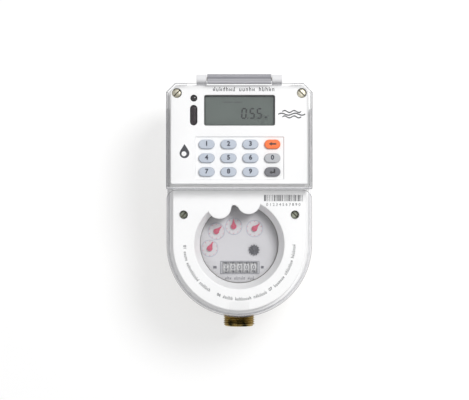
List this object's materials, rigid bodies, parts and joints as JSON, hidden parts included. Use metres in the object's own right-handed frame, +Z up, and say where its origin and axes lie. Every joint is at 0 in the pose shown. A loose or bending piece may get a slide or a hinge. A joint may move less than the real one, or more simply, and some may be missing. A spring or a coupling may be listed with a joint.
{
  "type": "prepaid water meter",
  "caption": "Keypad water meter: threaded brass body with motor valve, white housing with dial window, clear flip-up lid over display and keys.",
  "frame": {"origin": "centre of the flat brass underside, on the axis of the impeller and the dial", "axes": "+Z up through the dial, +Y from the inlet towards the outlet and the lid's hinge, +X to the right when the keys are read"},
  "size_m": [0.1192, 0.2103, 0.1201],
  "materials": {
    "brass": "cast and machined, satin",
    "white_plastic": "fine moulded satin",
    "clear_plastic": "clear moulded polycarbonate",
    "register_glass": "clear, slightly fogged inside",
    "register_case": "drawn can, satin",
    "dial_white": "printed, satin",
    "pointer_red": "moulded",
    "star_navy": "moulded",
    "nickel_steel": "nickel plated",
    "motor_steel": "drawn can",
    "inner_plastic": "moulded",
    "magnet_black": "moulded ferrite",
    "seal_rubber": "moulded rubber",
    "dark_plastic": "moulded",
    "circuit_board": "solder mask",
    "lcd_grey": "liquid crystal glass",
    "battery_sleeve": "shrink sleeve",
    "led_dark": "tinted lens",
    "ir_dark": "tinted filter",
    "key_grey": "moulded rubber-coated cap",
    "key_orange": "moulded rubber-coated cap",
    "key_dark": "moulded rubber-coated cap"
  },
  "bodies": {
    "meter_body": {"brass_body": "brass", "cap_ring": "brass", "valve_end_fitting": "brass", "base_housing": "white_plastic", "top_panel": "white_plastic", "keypad_mat": "white_plastic", "lower_clear_cover": "clear_plastic", "lcd_window": "clear_plastic", "register_glass": "register_glass", "register_case": "register_case", "dial_plate": "dial_white", "screw_rear_left": "nickel_steel", "screw_rear_right": "nickel_steel", "screw_front_left": "nickel_steel", "screw_front_right": "nickel_steel", "hinge_pin": "nickel_steel", "counter_axle": "nickel_steel", "valve_motor": "motor_steel", "measuring_chamber": "inner_plastic", "pressure_plate": "inner_plastic", "inlet_strainer": "inner_plastic", "seat_inner": "inner_plastic", "seat_outer": "inner_plastic", "body_seal": "seal_rubber", "panel_gasket": "seal_rubber", "actuator_case": "dark_plastic", "main_board": "circuit_board", "pulse_sensor_board": "circuit_board", "lcd_module": "lcd_grey", "battery": "battery_sleeve", "status_led": "led_dark", "ir_window": "ir_dark"},
    "lid": {"flip_lid": "clear_plastic"},
    "key_1_cap": {"key_1": "key_grey"},
    "key_2_cap": {"key_2": "key_grey"},
    "key_3_cap": {"key_3": "key_grey"},
    "key_back_cap": {"key_back": "key_orange"},
    "key_4_cap": {"key_4": "key_grey"},
    "key_5_cap": {"key_5": "key_grey"},
    "key_6_cap": {"key_6": "key_grey"},
    "key_0_cap": {"key_0": "key_grey"},
    "key_7_cap": {"key_7": "key_grey"},
    "key_8_cap": {"key_8": "key_grey"},
    "key_9_cap": {"key_9": "key_grey"},
    "key_enter_cap": {"key_enter": "key_dark"},
    "impeller_wheel": {"impeller": "inner_plastic"},
    "drive_magnet": {"register_magnet": "magnet_black"},
    "hand_1": {"pointer_1": "pointer_red"},
    "hand_2": {"pointer_2": "pointer_red"},
    "hand_3": {"pointer_3": "pointer_red"},
    "hand_4": {"pointer_4": "pointer_red"},
    "leak_star": {"star_wheel": "star_navy"},
    "counter_wheel_1": {"number_wheel_1": "dial_white"},
    "counter_wheel_2": {"number_wheel_2": "dial_white"},
    "counter_wheel_3": {"number_wheel_3": "dial_white"},
    "counter_wheel_4": {"number_wheel_4": "dial_white"},
    "counter_wheel_5": {"number_wheel_5": "dial_white"},
    "valve_rotor": {"valve_ball": "nickel_steel", "valve_stem": "nickel_steel"},
    "pinion": {"motor_pinion": "brass"}
  },
  "joints": [
    {"name": "lid_hinge", "type": "hinge", "parent": "meter_body", "child": "lid", "pos_m": [0, 0.1347, 0.116], "axis": [-1, 0, 0], "range_deg": [0, 110]},
    {"name": "key_1_press", "type": "slide", "parent": "meter_body", "child": "key_1_cap", "axis": [0, 0, -1], "range_m": [0, 0.0008], "stiffness_N_per_m": 400, "springref_m": -0.001},
    {"name": "key_2_press", "type": "slide", "parent": "meter_body", "child": "key_2_cap", "axis": [0, 0, -1], "range_m": [0, 0.0008], "stiffness_N_per_m": 400, "springref_m": -0.001},
    {"name": "key_3_press", "type": "slide", "parent": "meter_body", "child": "key_3_cap", "axis": [0, 0, -1], "range_m": [0, 0.0008], "stiffness_N_per_m": 400, "springref_m": -0.001},
    {"name": "key_back_press", "type": "slide", "parent": "meter_body", "child": "key_back_cap", "axis": [0, 0, -1], "range_m": [0, 0.0008], "stiffness_N_per_m": 400, "springref_m": -0.001},
    {"name": "key_4_press", "type": "slide", "parent": "meter_body", "child": "key_4_cap", "axis": [0, 0, -1], "range_m": [0, 0.0008], "stiffness_N_per_m": 400, "springref_m": -0.001},
    {"name": "key_5_press", "type": "slide", "parent": "meter_body", "child": "key_5_cap", "axis": [0, 0, -1], "range_m": [0, 0.0008], "stiffness_N_per_m": 400, "springref_m": -0.001},
    {"name": "key_6_press", "type": "slide", "parent": "meter_body", "child": "key_6_cap", "axis": [0, 0, -1], "range_m": [0, 0.0008], "stiffness_N_per_m": 400, "springref_m": -0.001},
    {"name": "key_0_press", "type": "slide", "parent": "meter_body", "child": "key_0_cap", "axis": [0, 0, -1], "range_m": [0, 0.0008], "stiffness_N_per_m": 400, "springref_m": -0.001},
    {"name": "key_7_press", "type": "slide", "parent": "meter_body", "child": "key_7_cap", "axis": [0, 0, -1], "range_m": [0, 0.0008], "stiffness_N_per_m": 400, "springref_m": -0.001},
    {"name": "key_8_press", "type": "slide", "parent": "meter_body", "child": "key_8_cap", "axis": [0, 0, -1], "range_m": [0, 0.0008], "stiffness_N_per_m": 400, "springref_m": -0.001},
    {"name": "key_9_press", "type": "slide", "parent": "meter_body", "child": "key_9_cap", "axis": [0, 0, -1], "range_m": [0, 0.0008], "stiffness_N_per_m": 400, "springref_m": -0.001},
    {"name": "key_enter_press", "type": "slide", "parent": "meter_body", "child": "key_enter_cap", "axis": [0, 0, -1], "range_m": [0, 0.0008], "stiffness_N_per_m": 400, "springref_m": -0.001},
    {"name": "impeller_spin", "type": "hinge", "parent": "meter_body", "child": "impeller_wheel", "pos_m": [0, 0, 0.036], "axis": [0, 0, 1], "continuous": true},
    {"name": "drive_magnet_spin", "type": "hinge", "parent": "meter_body", "child": "drive_magnet", "pos_m": [0, 0, 0.071], "axis": [0, 0, 1], "continuous": true},
    {"name": "leak_star_spin", "type": "hinge", "parent": "meter_body", "child": "leak_star", "pos_m": [0.0124, -0.0052, 0.0825], "axis": [0, 0, 1], "continuous": true},
    {"name": "hand_1_spin", "type": "hinge", "parent": "meter_body", "child": "hand_1", "pos_m": [-0.0245, -0.0039, 0.0825], "axis": [0, 0, 1], "continuous": true},
    {"name": "hand_2_spin", "type": "hinge", "parent": "meter_body", "child": "hand_2", "pos_m": [-0.019, 0.01025, 0.0825], "axis": [0, 0, 1], "continuous": true},
    {"name": "hand_3_spin", "type": "hinge", "parent": "meter_body", "child": "hand_3", "pos_m": [-0.0046, 0.01435, 0.0825], "axis": [0, 0, 1], "continuous": true},
    {"name": "hand_4_spin", "type": "hinge", "parent": "meter_body", "child": "hand_4", "pos_m": [0.01275, 0.0125, 0.0825], "axis": [0, 0, 1], "continuous": true},
    {"name": "counter_wheel_1_spin", "type": "hinge", "parent": "meter_body", "child": "counter_wheel_1", "pos_m": [-0.011, -0.0198, 0.0752], "axis": [1, 0, 0], "continuous": true},
    {"name": "counter_wheel_2_spin", "type": "hinge", "parent": "meter_body", "child": "counter_wheel_2", "pos_m": [-0.00525, -0.0198, 0.0752], "axis": [1, 0, 0], "continuous": true},
    {"name": "counter_wheel_3_spin", "type": "hinge", "parent": "meter_body", "child": "counter_wheel_3", "pos_m": [0.0005, -0.0198, 0.0752], "axis": [1, 0, 0], "continuous": true},
    {"name": "counter_wheel_4_spin", "type": "hinge", "parent": "meter_body", "child": "counter_wheel_4", "pos_m": [0.00625, -0.0198, 0.0752], "axis": [1, 0, 0], "continuous": true},
    {"name": "counter_wheel_5_spin", "type": "hinge", "parent": "meter_body", "child": "counter_wheel_5", "pos_m": [0.012, -0.0198, 0.0752], "axis": [1, 0, 0], "continuous": true},
    {"name": "valve_turn", "type": "hinge", "parent": "meter_body", "child": "valve_rotor", "pos_m": [0, 0.063, 0.036], "axis": [0, 0, 1], "range_deg": [0, 90]},
    {"name": "motor_pinion_spin", "type": "hinge", "parent": "meter_body", "child": "pinion", "pos_m": [0, 0.0774, 0.0655], "axis": [0, 0, 1], "range_deg": [-270, 0]}
  ],
  "couplings": [
    {"joint": "drive_magnet_spin", "follows": "impeller_spin", "ratio": 1},
    {"joint": "leak_star_spin", "follows": "impeller_spin", "ratio": -0.25},
    {"joint": "hand_4_spin", "follows": "impeller_spin", "ratio": 0.033333},
    {"joint": "hand_3_spin", "follows": "impeller_spin", "ratio": -0.0033333},
    {"joint": "hand_2_spin", "follows": "impeller_spin", "ratio": 0.00033333},
    {"joint": "hand_1_spin", "follows": "impeller_spin", "ratio": -0.000033333},
    {"joint": "counter_wheel_1_spin", "follows": "impeller_spin", "ratio": 0.0000033333},
    {"joint": "counter_wheel_2_spin", "follows": "impeller_spin", "ratio": 0.00000033333},
    {"joint": "counter_wheel_3_spin", "follows": "impeller_spin", "ratio": 0.000000033333},
    {"joint": "counter_wheel_4_spin", "follows": "impeller_spin", "ratio": 0.0000000033333},
    {"joint": "counter_wheel_5_spin", "follows": "impeller_spin", "ratio": 0.00000000033333},
    {"joint": "motor_pinion_spin", "follows": "valve_turn", "ratio": -3}
  ]
}
